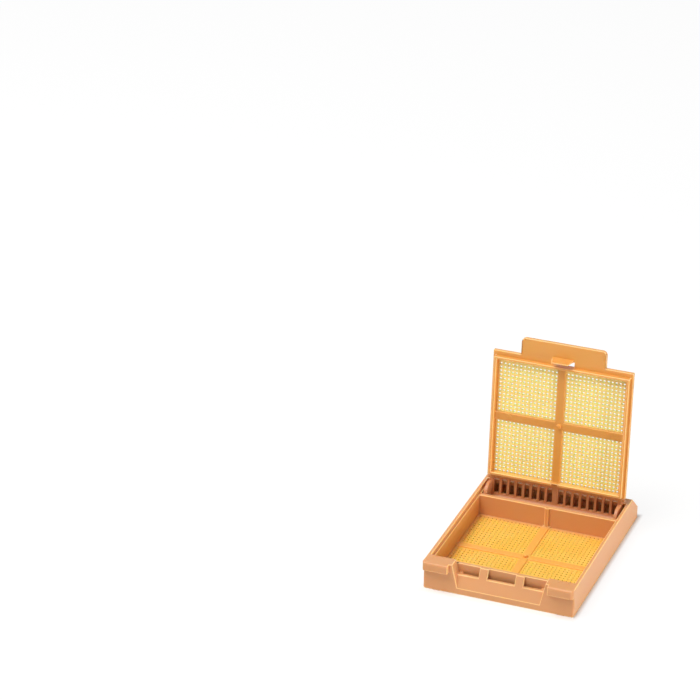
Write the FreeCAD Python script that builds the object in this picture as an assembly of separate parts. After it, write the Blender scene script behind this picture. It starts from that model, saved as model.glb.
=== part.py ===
import FreeCAD, Part
import math
import os

# Tissue cassette for histology, moulded in acetal: a base with a perforated floor and a slanted
# writing face, and a perforated lid that swings on two pins and stands open.
# Millimetres. X is across the cassette and Z is up. Every Y in this file runs from the latch end
# towards the writing face; the finished parts are moved so that the base is centred on the origin.

Vector = FreeCAD.Vector

# ---- Base: outer shape ------------------------------------------------------------------------
BASE_WIDTH = 28.5
BASE_LENGTH = 40.7
BASE_HEIGHT = 5.8
SIDE_WALL = 0.65
REAR_CORNER_RADIUS = 0.8
WRITING_FACE_RUN = 4.4           # length of the slanted face along Y
WRITING_FACE_ANGLE = 41.5        # degrees below the horizontal
WRITING_FACE_WALL = 1.0
WRITING_EDGE_RADIUS = 1.5        # where the writing face turns down into the end wall
STRIP_WIDTH = 2.1                # flat strip between the lid's tail and the writing face
STRIP_THICKNESS = 0.9
STRIP_SLOT_COUNT = 5
STRIP_SLOT_WIDTH = 0.6
STRIP_SLOT_BRIDGE = 1.1          # left between two slots, end to end
STRIP_SLOT_MARGIN = 1.15         # from the side wall to the first slot
STRIP_SLOT_SETBACK = 0.7         # from the front of the strip to the slots

# ---- Base: specimen compartment ---------------------------------------------------------------
COMPARTMENT_FRONT = 4.1
LEDGE_WIDTH = 0.3                # the lid's edge rests on it
NEAR_WALL = 0.65
FAR_WALL = 0.85
FAR_RIB_WIDTH = 0.8
FAR_RIB_DEPTH = 0.35
FLOOR_THICKNESS = 0.95
FLOOR_POCKET_DEPTH = 0.35        # recess under each quarter of the mesh
FLOOR_RIB_WIDTH = 1.4
FLOOR_RIB_HEIGHT = 0.2
NUB_RADIUS = 0.5
NUB_HEIGHT = 0.5
NUB_ROUND = 0.25

# ---- Mesh in floor and lid: square openings in four quarters --------------------------------------
MESH_COLUMNS = 6                 # openings along X in one quarter
MESH_ROWS = 5                    # openings along Y in one quarter
OPENING_SHARE = 0.5              # width of an opening over the mesh pitch
MESH_CROSS_X = 1.9               # solid band between the left and right quarters
MESH_CROSS_Y = 2.1               # solid band between the front and back quarters
MESH_BORDER_X = 1.2              # from the compartment's side to the outermost openings
MESH_BORDER_Y = 0.9
POCKET_MARGIN = 0.15             # from the outermost openings to the edge of their pocket

# ---- Base: latch end ----------------------------------------------------------------------------
FRONT_SETBACK = 0.9              # front wall, behind the front of the ears
FRONT_WALL = 0.65
EAR_WIDTH = 4.85
EAR_LENGTH = 3.2
EAR_LIP_HEIGHT = 1.7
EAR_TOP_WALL = 0.9
EAR_CORNER_RADIUS = 0.6
EAR_EDGE_RADIUS = 0.45
EJECTOR_MARK_RADIUS = 1.2
EJECTOR_MARK_DEPTH = 0.05
CHEEK_WALL = 0.6                 # slanted walls at the sides of the latch recess
RECESS_LEAN = 1.3                # each side of the recess leans in by this much towards the bottom
RAMP_FOOT_HEIGHT = 1.25
RAMP_FOOT_SETBACK = 0.15         # foot of the ramp behind the strip below it
RAMP_TOP_LEAD = 0.25             # top of the ramp in front of the near wall
RAMP_WALL = 0.6
WINDOW_DEPTH = 1.65              # from the ledge down to the window sills
MIDDLE_WINDOW_WIDTH = 5.1
WINDOW_BAR_WIDTH = 1.7
SLIT_CORNER_WIDTH = 0.8          # filled end of the slit between the sills and the near wall

# ---- Lid ------------------------------------------------------------------------------------------
LID_THICKNESS = 0.8
LID_SEAT_GAP = 0.03              # between the closed lid and the ledge
LID_SIDE_GAP = 0.1               # between the lid's edge and the side wall
LID_FRONT_GAP = 0.3              # between the lid and the back of the ears
LID_REAR_GAP = 0.3               # between the closed lid's tail and the strip
LID_POCKET_DEPTH = 0.3
LID_RIB_WIDTH = 1.5
LID_RIB_HEIGHT = 0.25
TAB_SIDE_GAP = 0.6               # between the thumb tab and the sides of the recess
TAB_SETBACK = 0.15               # end of the tab behind the front of the ears
TAB_CORNER_RADIUS = 0.9
RIDGE_WALL = 0.5                 # raised frame that drops into the compartment
RIDGE_HEIGHT = 1.0
RIDGE_SIDE_GAP = 0.25
RIDGE_END_GAP = 0.3
RIDGE_NOTCH_GAP = 0.2            # on each side of the far wall's rib
RIDGE_NOTCH_CLEARANCE = 0.25     # in front of the far wall's rib
MARK_RADIUS = 0.45               # two small round marks on the lid's cross rib
MARK_HEIGHT = 0.08
MARK_INSET = 2.85                # from the raised frame to a mark
LATCH_WINDOW_WIDTH = 4.3
LATCH_WINDOW_LENGTH = 1.0
HOOK_SIDE_GAP = 0.5              # between the hook's root and the sides of the middle window
HOOK_TAPER = 0.5                 # by which the hook's tip is narrower on each side
HOOK_WALL_GAP = 0.15             # between the hook and the near wall
HOOK_SILL_GAP = 0.1              # between the hook and the back of the middle window's sill
HOOK_REACH = 0.55                # how far the hook's tip goes below the sill
HOOK_TIP = 0.2                   # thickness at the tip

# ---- Lid: slotted tail and hinge ------------------------------------------------------------------
HINGE_DEPTH = 1.9                # hinge axis below the rim
OPEN_ANGLE = 94.0                # from closed to the open rest pose, in degrees
STOP_GAP = 0.05                  # between the open lid and the strip that stops it
PIN_RADIUS = 0.7
PIN_CLEARANCE = 0.05
PIN_HOLE_DEPTH = 0.4
PIN_END_GAP = 0.1
ARM_THICKNESS = 0.65
ARM_RADIUS = 2.3
ARM_BACK = 1.5                   # the arm ends this far behind the axis
ARM_CLEARANCE = 0.25             # between the arms and the far wall
TAIL_LENGTH = 5.05               # from the wide part of the lid to the end of the tail
TAIL_SIDE_GAP = 0.55             # between the tail and the side wall
TAIL_END_RADIUS = 1.4
TAIL_TIP_DROP = 0.25             # straight run below the rounded end
TAIL_SLOT_COUNT = 8              # on each side of the middle bar
TAIL_SLOT_SETBACK = 0.6          # from the wide part of the lid to the slots
TAIL_BAR_WIDTH = 0.47
TAIL_MIDDLE_BAR = 1.17
TAIL_SLOT_MARGIN = 0.95          # from the last slot to the tail's edge
STUB_RADIUS = 0.25
STUB_SETBACK = 0.45              # from the wide part of the lid to the side stubs

# ---- Worked out from the sizes above --------------------------------------------------------------
OVERRUN = 1.0                    # how far a cutting block reaches past the face it opens
ROUNDING = 1e-4                  # lengths closer than this are the same
HALF_WIDTH = BASE_WIDTH / 2
INNER_HALF_WIDTH = HALF_WIDTH - SIDE_WALL
CELL_HALF_WIDTH = INNER_HALF_WIDTH - LEDGE_WIDTH
LEDGE_HEIGHT = BASE_HEIGHT - LID_THICKNESS - LID_SEAT_GAP

FACE_START = BASE_LENGTH - WRITING_FACE_RUN
FACE_SLOPE = math.tan(math.radians(WRITING_FACE_ANGLE))
FACE_END_HEIGHT = BASE_HEIGHT - WRITING_FACE_RUN * FACE_SLOPE
STRIP_FRONT = FACE_START - STRIP_WIDTH

# The open lid's outer face comes to rest against the strip's front edge.
LEAN = math.radians(OPEN_ANGLE - 90)
HINGE_Y = STRIP_FRONT - STOP_GAP - HINGE_DEPTH * (1 + math.sin(LEAN)) / math.cos(LEAN)
HINGE_Z = BASE_HEIGHT - HINGE_DEPTH

FAR_WALL_BACK = HINGE_Y - ARM_RADIUS - ARM_CLEARANCE
COMPARTMENT_BACK = FAR_WALL_BACK - FAR_WALL
COMPARTMENT_MIDDLE = (COMPARTMENT_FRONT + COMPARTMENT_BACK) / 2
CELL_HALF_LENGTH = (COMPARTMENT_BACK - COMPARTMENT_FRONT) / 2
NEAR_WALL_FRONT = COMPARTMENT_FRONT - NEAR_WALL
SILL_HEIGHT = LEDGE_HEIGHT - WINDOW_DEPTH
EAR_INSIDE = HALF_WIDTH - EAR_WIDTH
RECESS_TOP_HALF_WIDTH = EAR_INSIDE - CHEEK_WALL

RAMP_FOOT = FRONT_SETBACK + RAMP_FOOT_SETBACK
RAMP_TOP = NEAR_WALL_FRONT - RAMP_TOP_LEAD
RAMP_RISE = LEDGE_HEIGHT - RAMP_FOOT_HEIGHT
RAMP_DEPTH = RAMP_WALL * math.hypot(RAMP_RISE, RAMP_TOP - RAMP_FOOT) / RAMP_RISE
SILL_BACK = RAMP_TOP + RAMP_DEPTH - WINDOW_DEPTH * (RAMP_TOP - RAMP_FOOT) / RAMP_RISE

LID_UNDERSIDE = BASE_HEIGHT - LID_THICKNESS
LID_HALF_WIDTH = INNER_HALF_WIDTH - LID_SIDE_GAP
LID_FRONT = EAR_LENGTH + LID_FRONT_GAP
LID_BACK = STRIP_FRONT - LID_REAR_GAP
TAIL_START = LID_BACK - TAIL_LENGTH
TAIL_BEND = LID_BACK - TAIL_END_RADIUS
TAIL_HALF_WIDTH = INNER_HALF_WIDTH - TAIL_SIDE_GAP
RIDGE_HALF_WIDTH = CELL_HALF_WIDTH - RIDGE_SIDE_GAP
RIDGE_FRONT = COMPARTMENT_FRONT + RIDGE_END_GAP
RIDGE_BACK = COMPARTMENT_BACK - RIDGE_END_GAP


# ---- Small helpers --------------------------------------------------------------------------------
def box(x0, x1, y0, y1, z0, z1):
    """Block between the given limits."""
    return Part.makeBox(x1 - x0, y1 - y0, z1 - z0, Vector(x0, y0, z0))


def band(half_width, y0, y1, z0, z1):
    """Block centred across the cassette."""
    return box(-half_width, half_width, y0, y1, z0, z1)


def across(points, half_width):
    """Solid with the given (y, z) outline, centred across the cassette."""
    wire = Part.makePolygon([Vector(-half_width, y, z) for y, z in points + points[:1]])
    return Part.Face(wire).extrude(Vector(2 * half_width, 0, 0))


def crosswise(radius, y, z, x0, x1):
    """Cylinder along X."""
    return Part.makeCylinder(radius, x1 - x0, Vector(x0, y, z), Vector(1, 0, 0))


def upright(radius, x, y, z0, z1):
    """Cylinder along Z."""
    return Part.makeCylinder(radius, z1 - z0, Vector(x, y, z0))


def both_sides(shape):
    """The shape and its mirror image on the other side of the cassette."""
    return [shape, shape.mirror(Vector(0, 0, 0), Vector(1, 0, 0))]


def near(value, target):
    """True where two lengths are the same, apart from rounding."""
    return abs(value - target) < ROUNDING


def corner_edges(shape, x, y):
    """Vertical edges whose distance from the middle plane is x, at the given y."""
    matches = [e for e in shape.Edges if all(near(abs(v.X), x) and near(v.Y, y) for v in e.Vertexes)]
    return [e for e in matches if near(e.Vertexes[0].X, e.Vertexes[-1].X)]


def rounded_plate(half_width, y_round, y_square, z0, z1, radius):
    """Plate whose two corners at y_round are rounded."""
    plate = band(half_width, min(y_round, y_square), max(y_round, y_square), z0, z1)
    return plate.makeFillet(radius, corner_edges(plate, half_width, y_round))


# ---- Mesh -----------------------------------------------------------------------------------------
def openings_along(inner_edge, outer_edge, count):
    """Near and far edge of each opening in a row that fills the given span."""
    pitch = (outer_edge - inner_edge) / (count - 1 + OPENING_SHARE)
    size = pitch * OPENING_SHARE
    return [(inner_edge + i * pitch, inner_edge + i * pitch + size) for i in range(count)]


def in_every_quarter(x0, x1, y0, y1, z0, z1):
    """The same block in all four quarters, measured from the middle of the mesh."""
    blocks = []
    for low, high in ((y0, y1), (-y1, -y0)):
        blocks += both_sides(box(x0, x1, COMPARTMENT_MIDDLE + low, COMPARTMENT_MIDDLE + high, z0, z1))
    return blocks


def mesh_cuts(pocket_z0, pocket_z1):
    """Every opening, through all heights, and the pocket around each quarter's openings."""
    columns = openings_along(MESH_CROSS_X / 2, CELL_HALF_WIDTH - MESH_BORDER_X, MESH_COLUMNS)
    rows = openings_along(MESH_CROSS_Y / 2, CELL_HALF_LENGTH - MESH_BORDER_Y, MESH_ROWS)
    cuts = in_every_quarter(columns[0][0] - POCKET_MARGIN, columns[-1][1] + POCKET_MARGIN,
                            rows[0][0] - POCKET_MARGIN, rows[-1][1] + POCKET_MARGIN,
                            pocket_z0, pocket_z1)
    for x0, x1 in columns:
        for y0, y1 in rows:
            cuts += in_every_quarter(x0, x1, y0, y1, -OVERRUN, BASE_HEIGHT + OVERRUN)
    return cuts


def nub(root, tip):
    """Round nub in the middle of the mesh, from its root height to its rounded tip."""
    post = upright(NUB_RADIUS, 0, COMPARTMENT_MIDDLE, min(root, tip), max(root, tip))
    rim = [e for e in post.Edges if all(near(v.Z, tip) for v in e.Vertexes)]
    return post.makeFillet(NUB_ROUND, rim)


# ---- Base -----------------------------------------------------------------------------------------
def base_block():
    """Outer shape behind the front wall, still solid."""
    outline = [(FRONT_SETBACK, 0), (FRONT_SETBACK, BASE_HEIGHT), (FACE_START, BASE_HEIGHT),
               (BASE_LENGTH, FACE_END_HEIGHT), (BASE_LENGTH, 0)]
    block = across(outline, HALF_WIDTH)
    turn = [e for e in block.Edges
            if all(near(v.Y, BASE_LENGTH) and near(v.Z, FACE_END_HEIGHT) for v in e.Vertexes)]
    block = block.makeFillet(WRITING_EDGE_RADIUS, turn)
    return block.common(rounded_plate(HALF_WIDTH, BASE_LENGTH, 0, 0, BASE_HEIGHT, REAR_CORNER_RADIUS))


def rear_hollow():
    """Space between the far wall and the writing face, open below and above the hinge."""
    inner_end = BASE_LENGTH - WRITING_FACE_WALL
    drop = WRITING_FACE_WALL / math.cos(math.radians(WRITING_FACE_ANGLE))
    roof = BASE_HEIGHT - STRIP_THICKNESS
    roof_end = FACE_START + (STRIP_THICKNESS - drop) / FACE_SLOPE
    end_height = BASE_HEIGHT - drop - (inner_end - FACE_START) * FACE_SLOPE
    outline = [(STRIP_FRONT, -OVERRUN), (STRIP_FRONT, roof), (roof_end, roof), (inner_end, end_height),
               (inner_end, -OVERRUN)]
    hinge_room = band(CELL_HALF_WIDTH, FAR_WALL_BACK, STRIP_FRONT, -OVERRUN, BASE_HEIGHT)
    return across(outline, INNER_HALF_WIDTH).fuse(hinge_room)


def strip_slots():
    """Row of narrow slots through the strip in front of the writing face."""
    start = STRIP_SLOT_MARGIN - INNER_HALF_WIDTH
    bridges = (STRIP_SLOT_COUNT - 1) * STRIP_SLOT_BRIDGE
    length = (-2 * start - bridges) / STRIP_SLOT_COUNT
    front = STRIP_FRONT + STRIP_SLOT_SETBACK
    slots = []
    for index in range(STRIP_SLOT_COUNT):
        x0 = start + index * (length + STRIP_SLOT_BRIDGE)
        slots.append(box(x0, x0 + length, front, front + STRIP_SLOT_WIDTH, LEDGE_HEIGHT - OVERRUN,
                         BASE_HEIGHT + OVERRUN))
    return slots


def recess_half_width(height):
    """Half the width of the latch recess at a height: its sides lean in towards the bottom."""
    return RECESS_TOP_HALF_WIDTH - RECESS_LEAN * (1 - height / BASE_HEIGHT)


def recess_prism(widening, y0, y1):
    """The latch recess over the whole height, wider on each side by the given amount."""
    low = recess_half_width(0) + widening
    high = recess_half_width(BASE_HEIGHT) + widening
    corners = [(-low, 0), (low, 0), (high, BASE_HEIGHT), (-high, BASE_HEIGHT), (-low, 0)]
    wire = Part.makePolygon([Vector(x, y0, z) for x, z in corners])
    return Part.Face(wire).extrude(Vector(0, y1 - y0, 0))


def latch_windows():
    """Three windows at the top of the ramp; the lid's hook goes into the middle one."""
    start = MIDDLE_WINDOW_WIDTH / 2 + WINDOW_BAR_WIDTH
    middle = band(MIDDLE_WINDOW_WIDTH / 2, 0, NEAR_WALL_FRONT, SILL_HEIGHT, BASE_HEIGHT)
    return [middle] + both_sides(box(start, HALF_WIDTH, 0, NEAR_WALL_FRONT, SILL_HEIGHT, BASE_HEIGHT))


def latch_ramp():
    """Leaning plate and the upright strip at its foot, between the sides of the recess.

    A narrow slit stays open between the plate and the near wall, filled only at its two ends.
    """
    front = [(RAMP_FOOT, RAMP_FOOT_HEIGHT), (RAMP_TOP, LEDGE_HEIGHT)]
    back = [(RAMP_TOP + RAMP_DEPTH, LEDGE_HEIGHT), (RAMP_FOOT + RAMP_DEPTH, RAMP_FOOT_HEIGHT)]
    near_wall = [(NEAR_WALL_FRONT, LEDGE_HEIGHT), (NEAR_WALL_FRONT, RAMP_FOOT_HEIGHT)]
    strip = band(HALF_WIDTH, FRONT_SETBACK, RAMP_FOOT + RAMP_DEPTH, 0, RAMP_FOOT_HEIGHT)
    slit = band(recess_half_width(SILL_HEIGHT) - SLIT_CORNER_WIDTH, 0, NEAR_WALL_FRONT, 0, BASE_HEIGHT)
    filling = across(front + near_wall, HALF_WIDTH).cut(slit)
    plate = across(front + back, HALF_WIDTH).fuse([strip, filling])
    return plate.common(recess_prism(CHEEK_WALL / 2, 0, COMPARTMENT_FRONT)).cut(latch_windows())


def cheeks():
    """Slanted walls at the sides of the latch recess."""
    walls = recess_prism(CHEEK_WALL, FRONT_SETBACK, NEAR_WALL_FRONT)
    walls = walls.cut(recess_prism(0, 0, COMPARTMENT_FRONT))
    return walls.cut(band(HALF_WIDTH, EAR_LENGTH, BASE_LENGTH, LEDGE_HEIGHT, BASE_HEIGHT))


def ear():
    """Lip that overhangs the front wall at the right-hand corner, its outer edges rounded."""
    back = FRONT_SETBACK + FRONT_WALL
    lip = box(EAR_INSIDE, HALF_WIDTH, 0, back, BASE_HEIGHT - EAR_LIP_HEIGHT, BASE_HEIGHT)
    lip = lip.makeFillet(EAR_CORNER_RADIUS, corner_edges(lip, HALF_WIDTH, 0))
    front = [e for e in lip.Edges if all(near(v.Y, 0) and near(v.Z, BASE_HEIGHT) for v in e.Vertexes)]
    return lip.makeFillet(EAR_EDGE_RADIUS, front)


def compartment_floor():
    """Perforated floor with a pocket under each quarter, and a low cross with a nub on top."""
    half = FLOOR_RIB_WIDTH / 2
    top = FLOOR_THICKNESS + FLOOR_RIB_HEIGHT
    plate = band(CELL_HALF_WIDTH, COMPARTMENT_FRONT, COMPARTMENT_BACK, 0, FLOOR_THICKNESS)
    plate = plate.fuse([
        band(half, COMPARTMENT_FRONT, COMPARTMENT_BACK, 0, top),
        band(CELL_HALF_WIDTH, COMPARTMENT_MIDDLE - half, COMPARTMENT_MIDDLE + half, 0, top),
        nub(0, top + NUB_HEIGHT),
    ])
    return plate.cut(mesh_cuts(-OVERRUN, FLOOR_POCKET_DEPTH))


def cassette_base():
    """Compartment, latch end, hinge walls and writing face, moulded as one piece."""
    pin_hole = crosswise(PIN_RADIUS + PIN_CLEARANCE, HINGE_Y, HINGE_Z, TAIL_HALF_WIDTH,
                         INNER_HALF_WIDTH + PIN_HOLE_DEPTH)
    mark = upright(EJECTOR_MARK_RADIUS, HALF_WIDTH - EAR_WIDTH / 2, (EAR_LENGTH + EAR_EDGE_RADIUS) / 2,
                   BASE_HEIGHT - EJECTOR_MARK_DEPTH, BASE_HEIGHT + OVERRUN)
    lid_seat = band(INNER_HALF_WIDTH, EAR_LENGTH, STRIP_FRONT, LEDGE_HEIGHT, BASE_HEIGHT + OVERRUN)
    compartment = band(CELL_HALF_WIDTH, COMPARTMENT_FRONT, COMPARTMENT_BACK, 0, BASE_HEIGHT)
    front_hollow = band(INNER_HALF_WIDTH, FRONT_SETBACK + FRONT_WALL, EAR_LENGTH,
                        -OVERRUN, BASE_HEIGHT - EAR_TOP_WALL)
    rib = band(FAR_RIB_WIDTH / 2, COMPARTMENT_BACK - FAR_RIB_DEPTH, FAR_WALL_BACK, 0, LEDGE_HEIGHT)
    body = base_block().fuse(both_sides(ear()))
    body = body.cut([lid_seat, compartment, front_hollow, rear_hollow()] + strip_slots() + both_sides(mark))
    body = body.fuse([cheeks()]).cut(recess_prism(0, 0, NEAR_WALL_FRONT))
    body = body.fuse([latch_ramp(), rib, compartment_floor()])
    return body.cut(both_sides(pin_hole)).removeSplitter()


# ---- Lid, drawn closed and then swung open ----------------------------------------------------------
def lid_panel():
    """Thumb tab, perforated panel and slotted tail, with the latch window through them."""
    tab = rounded_plate(RECESS_TOP_HALF_WIDTH - TAB_SIDE_GAP, TAB_SETBACK, RIDGE_FRONT,
                        LID_UNDERSIDE, BASE_HEIGHT, TAB_CORNER_RADIUS)
    panel = band(LID_HALF_WIDTH, LID_FRONT, TAIL_START, LID_UNDERSIDE, BASE_HEIGHT)
    tail = band(TAIL_HALF_WIDTH, TAIL_START, TAIL_BEND, LID_UNDERSIDE, BASE_HEIGHT)
    window = band(LATCH_WINDOW_WIDTH / 2, RIDGE_FRONT - LATCH_WINDOW_LENGTH, RIDGE_FRONT,
                  LID_UNDERSIDE - OVERRUN, BASE_HEIGHT + OVERRUN)
    plate = panel.fuse([tab, tail, tail_end()])
    cuts = mesh_cuts(BASE_HEIGHT - LID_POCKET_DEPTH, BASE_HEIGHT + OVERRUN)
    return plate.cut(cuts + tail_slots() + [window])


def tail_end():
    """Quarter-round end of the tail, curling down towards the hinge, and its short straight tip."""
    centre = BASE_HEIGHT - TAIL_END_RADIUS
    outer = crosswise(TAIL_END_RADIUS, TAIL_BEND, centre, -TAIL_HALF_WIDTH, TAIL_HALF_WIDTH)
    inner = crosswise(TAIL_END_RADIUS - LID_THICKNESS, TAIL_BEND, centre, -TAIL_HALF_WIDTH, TAIL_HALF_WIDTH)
    curl = outer.cut(inner).common(band(TAIL_HALF_WIDTH, TAIL_BEND, LID_BACK, centre, BASE_HEIGHT))
    tip = band(TAIL_HALF_WIDTH, LID_BACK - LID_THICKNESS, LID_BACK, centre - TAIL_TIP_DROP, centre)
    return curl.fuse(tip)


def tail_slots():
    """Slots through the tail up to its bend, on both sides of its middle bar."""
    start = TAIL_MIDDLE_BAR / 2
    bars = (TAIL_SLOT_COUNT - 1) * TAIL_BAR_WIDTH
    width = (TAIL_HALF_WIDTH - TAIL_SLOT_MARGIN - start - bars) / TAIL_SLOT_COUNT
    slots = []
    for index in range(TAIL_SLOT_COUNT):
        x0 = start + index * (width + TAIL_BAR_WIDTH)
        slots += both_sides(box(x0, x0 + width, TAIL_START + TAIL_SLOT_SETBACK, TAIL_BEND,
                                LID_UNDERSIDE - OVERRUN, BASE_HEIGHT + OVERRUN))
    return slots


def raised_frame():
    """Frame under the lid that drops into the compartment, notched for the far wall's rib."""
    bottom = LID_UNDERSIDE - RIDGE_HEIGHT
    frame = band(RIDGE_HALF_WIDTH, RIDGE_FRONT, RIDGE_BACK, bottom, LID_UNDERSIDE)
    inside = band(RIDGE_HALF_WIDTH - RIDGE_WALL, RIDGE_FRONT + RIDGE_WALL, RIDGE_BACK - RIDGE_WALL,
                  bottom, LID_UNDERSIDE)
    notch_front = COMPARTMENT_BACK - FAR_RIB_DEPTH - RIDGE_NOTCH_CLEARANCE
    notch = band(FAR_RIB_WIDTH / 2 + RIDGE_NOTCH_GAP, notch_front, RIDGE_BACK, bottom, LID_UNDERSIDE)
    return frame.cut([inside, notch])


def lid_ribs():
    """Low cross under the lid, with the nub at its middle and two round marks."""
    half = LID_RIB_WIDTH / 2
    bottom = LID_UNDERSIDE - LID_RIB_HEIGHT
    lengthways = band(half, RIDGE_FRONT, RIDGE_BACK - RIDGE_WALL, bottom, LID_UNDERSIDE)
    sideways = band(RIDGE_HALF_WIDTH, COMPARTMENT_MIDDLE - half, COMPARTMENT_MIDDLE + half,
                    bottom, LID_UNDERSIDE)
    mark = upright(MARK_RADIUS, RIDGE_HALF_WIDTH - RIDGE_WALL - MARK_INSET, COMPARTMENT_MIDDLE,
                   bottom - MARK_HEIGHT, LID_UNDERSIDE)
    return [lengthways, sideways, nub(LID_UNDERSIDE, bottom - NUB_HEIGHT)] + both_sides(mark)


def latch_hook():
    """Wedge under the tab that goes through the middle window into the slit behind its sill."""
    top = LID_UNDERSIDE
    tip = SILL_HEIGHT - HOOK_REACH
    back = NEAR_WALL_FRONT - HOOK_WALL_GAP
    at_sill = SILL_BACK + HOOK_SILL_GAP
    root = at_sill - (top - SILL_HEIGHT) * (back - HOOK_TIP - at_sill) / HOOK_REACH
    wide = MIDDLE_WINDOW_WIDTH / 2 - HOOK_SIDE_GAP
    narrow = wide - HOOK_TAPER
    wedge = across([(root, top), (back, top), (back, tip), (back - HOOK_TIP, tip)], wide)
    corners = [(-wide, top), (wide, top), (narrow, tip), (-narrow, tip), (-wide, top)]
    sides = Part.Face(Part.makePolygon([Vector(x, 0, z) for x, z in corners]))
    return wedge.common(sides.extrude(Vector(0, NEAR_WALL_FRONT, 0)))


def hinge_arm():
    """Rounded arm under the right-hand rear corner, with its pin."""
    outside = TAIL_HALF_WIDTH
    disc = crosswise(ARM_RADIUS, HINGE_Y, HINGE_Z, outside - ARM_THICKNESS, outside)
    arm = disc.common(band(HALF_WIDTH, HINGE_Y - ARM_RADIUS, HINGE_Y + ARM_BACK,
                           HINGE_Z - ARM_RADIUS, LID_UNDERSIDE))
    pin = crosswise(PIN_RADIUS, HINGE_Y, HINGE_Z, outside - ARM_THICKNESS,
                    INNER_HALF_WIDTH + PIN_HOLE_DEPTH - PIN_END_GAP)
    stub = crosswise(STUB_RADIUS, TAIL_START + STUB_SETBACK, LID_UNDERSIDE + STUB_RADIUS,
                     outside - ARM_THICKNESS / 2, LID_HALF_WIDTH)
    return arm.fuse([pin, stub])


def cassette_lid():
    """Panel, tab, tail, latch hook and hinge arms, moulded as one piece and swung open."""
    lid = lid_panel().fuse([raised_frame(), latch_hook()] + lid_ribs() + both_sides(hinge_arm()))
    lid = lid.removeSplitter()
    lid.rotate(Vector(0, HINGE_Y, HINGE_Z), Vector(1, 0, 0), -OPEN_ANGLE)
    return lid


# ---- Parts ------------------------------------------------------------------------------------------
def main():
    os.makedirs("parts", exist_ok=True)
    to_origin = Vector(0, -BASE_LENGTH / 2, 0)
    for name, make in (("cassette_base", cassette_base), ("cassette_lid", cassette_lid)):
        shape = make()
        shape.translate(to_origin)
        shape.exportStep(f"parts/{name}.step")
        print(name, "solids", len(shape.Solids), "valid", shape.isValid(), "mm3", round(shape.Volume, 1))


if __name__ == "__main__":
    main()
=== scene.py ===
"""Open tissue cassette in matt acetal: a base with a fine mesh floor and a hinged lid, on a pale floor."""

import logging
import math
from dataclasses import dataclass, field, replace
from enum import Enum, IntEnum
from itertools import compress
from typing import Callable

import bmesh
import bpy
import numpy as np
from mathutils import Matrix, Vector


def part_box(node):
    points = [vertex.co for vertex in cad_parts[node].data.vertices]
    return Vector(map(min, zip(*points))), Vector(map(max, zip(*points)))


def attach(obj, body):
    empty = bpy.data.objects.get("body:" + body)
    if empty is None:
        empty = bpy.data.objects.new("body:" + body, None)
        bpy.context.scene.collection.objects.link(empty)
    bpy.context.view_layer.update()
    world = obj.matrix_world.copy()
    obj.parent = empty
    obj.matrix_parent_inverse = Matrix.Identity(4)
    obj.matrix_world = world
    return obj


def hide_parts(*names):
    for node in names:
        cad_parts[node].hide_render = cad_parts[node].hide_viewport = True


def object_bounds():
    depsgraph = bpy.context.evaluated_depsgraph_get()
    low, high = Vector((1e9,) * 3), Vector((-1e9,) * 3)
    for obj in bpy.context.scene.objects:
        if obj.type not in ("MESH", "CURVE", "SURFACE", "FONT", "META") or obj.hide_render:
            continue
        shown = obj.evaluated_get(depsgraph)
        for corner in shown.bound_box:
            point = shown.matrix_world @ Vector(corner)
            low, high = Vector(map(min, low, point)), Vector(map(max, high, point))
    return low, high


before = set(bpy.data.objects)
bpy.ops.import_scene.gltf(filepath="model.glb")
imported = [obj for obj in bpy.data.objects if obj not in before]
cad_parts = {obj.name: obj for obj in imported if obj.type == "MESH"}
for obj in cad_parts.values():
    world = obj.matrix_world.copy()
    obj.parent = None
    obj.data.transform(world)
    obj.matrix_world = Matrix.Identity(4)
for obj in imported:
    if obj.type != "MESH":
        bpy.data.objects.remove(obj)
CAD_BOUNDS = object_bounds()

LOG = logging.getLogger("cassette")

Span = tuple[float, float]
Point = tuple[float, float, float]
Colour = tuple[float, float, float, float]
Warp = Callable[[np.ndarray], np.ndarray]                     # points to moved points
Chosen = Callable[[np.ndarray], np.ndarray]                   # points to whether each is meant
Softness = Callable[[np.ndarray, np.ndarray], np.ndarray]     # midpoints and convexity of edges to radii

MM = 0.001

# Millimetres
TOUCH = 0.01                # within which a place counts as on a plane
BEYOND = 1.0                # how far a cutting block reaches past the face it opens
SOFT_RIM = 0.13             # usual radius of a moulded edge
PLANE_DIGITS = 5            # decimals kept of the place of a lattice plane

# Degrees between neighbouring faces
FLAT_ANGLE = 0.5            # below which they count as one plane
EDGE_ANGLE = 30             # above which their edge may be softened
SHARP_ANGLE = 32            # above which shading breaks between them

ARC_STEPS = 6               # straight pieces of a quarter round
RIM_SEGMENTS = 2            # the same of a softened edge


class Axis(IntEnum):
    """The axes of the frame, by column of a point."""

    X = 0
    Y = 1
    Z = 2


class Combine(Enum):
    """How a surface is combined with a moulding."""

    JOIN = "UNION"
    CUT = "DIFFERENCE"
    KEEP = "INTERSECT"


# ---- Helpers for numbers, colours and meshes -------------------------------------------------------
def srgb(code: str) -> Colour:
    """Turns a six-digit sRGB hex code into linear red, green, blue and alpha.

    Args:
        code: hex digits, two for each of red, green and blue.

    Returns:
        The linear colour with alpha 1.
    """
    parts = [int(code[i:i + 2], 16) / 255 for i in (0, 2, 4)]
    red, green, blue = (c / 12.92 if c <= 0.04045 else ((c + 0.055) / 1.055) ** 2.4 for c in parts)
    return red, green, blue, 1.0


def spans(middles: np.ndarray, size: float) -> np.ndarray:
    """Lower and upper end of an interval of the given size about each middle, one row each."""
    return np.stack([middles - size / 2, middles + size / 2], axis=1)


def mirrored(low: float, high: float) -> np.ndarray:
    """An interval and its mirror image about zero, one row each."""
    return np.array([[low, high], [-high, -low]])


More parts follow.
